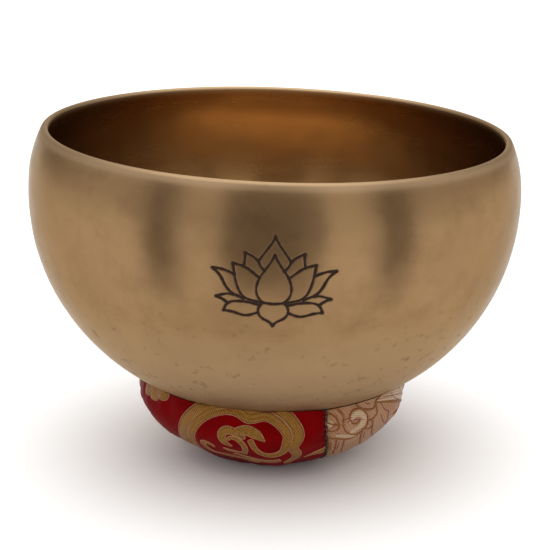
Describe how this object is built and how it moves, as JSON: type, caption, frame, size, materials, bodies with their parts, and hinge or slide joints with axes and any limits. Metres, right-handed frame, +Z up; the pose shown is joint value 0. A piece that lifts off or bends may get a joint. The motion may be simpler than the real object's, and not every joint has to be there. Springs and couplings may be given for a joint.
{
  "type": "singing bowl",
  "caption": "Deep bronze singing bowl with a line-engraved lotus, resting in a stuffed ring cushion sewn from red and cream brocade panels.",
  "frame": {"origin": "on the table, under the middle of the bowl's belly", "axes": "+Z up, front with the engraved lotus towards -Y, +X to the right when seen from the front"},
  "size_m": [0.1998, 0.1998, 0.1395],
  "materials": {
    "bronze": "satin hammered and lathe-turned bronze with a light patina, warmer inside",
    "engraving_fill": "matt dark brown filling of engraved lines",
    "red_brocade": "deep red satin brocade with woven gold cloud scrolls edged in pale pink",
    "cream_brocade": "cream and gold brocade with woven flower and leaf outlines",
    "stuffing": "soft fibre filling",
    "thread": "dark sewing thread"
  },
  "bodies": {
    "cushion": {"cushion_stuffing": "stuffing", "red_panel_front": "red_brocade", "cream_panel_right": "cream_brocade", "red_panel_back": "red_brocade", "cream_panel_left": "cream_brocade", "stitches_front_right": "thread", "stitches_back_right": "thread", "stitches_back_left": "thread", "stitches_front_left": "thread", "closing_stitches": "thread"},
    "bowl": {"bowl_shell": "bronze", "lotus_engraving": "engraving_fill"}
  },
  "joints": [
    {"name": "bowl_lift", "type": "slide", "parent": "cushion", "child": "bowl", "axis": [0, 0, 1], "range_m": [0, 0.12]}
  ]
}
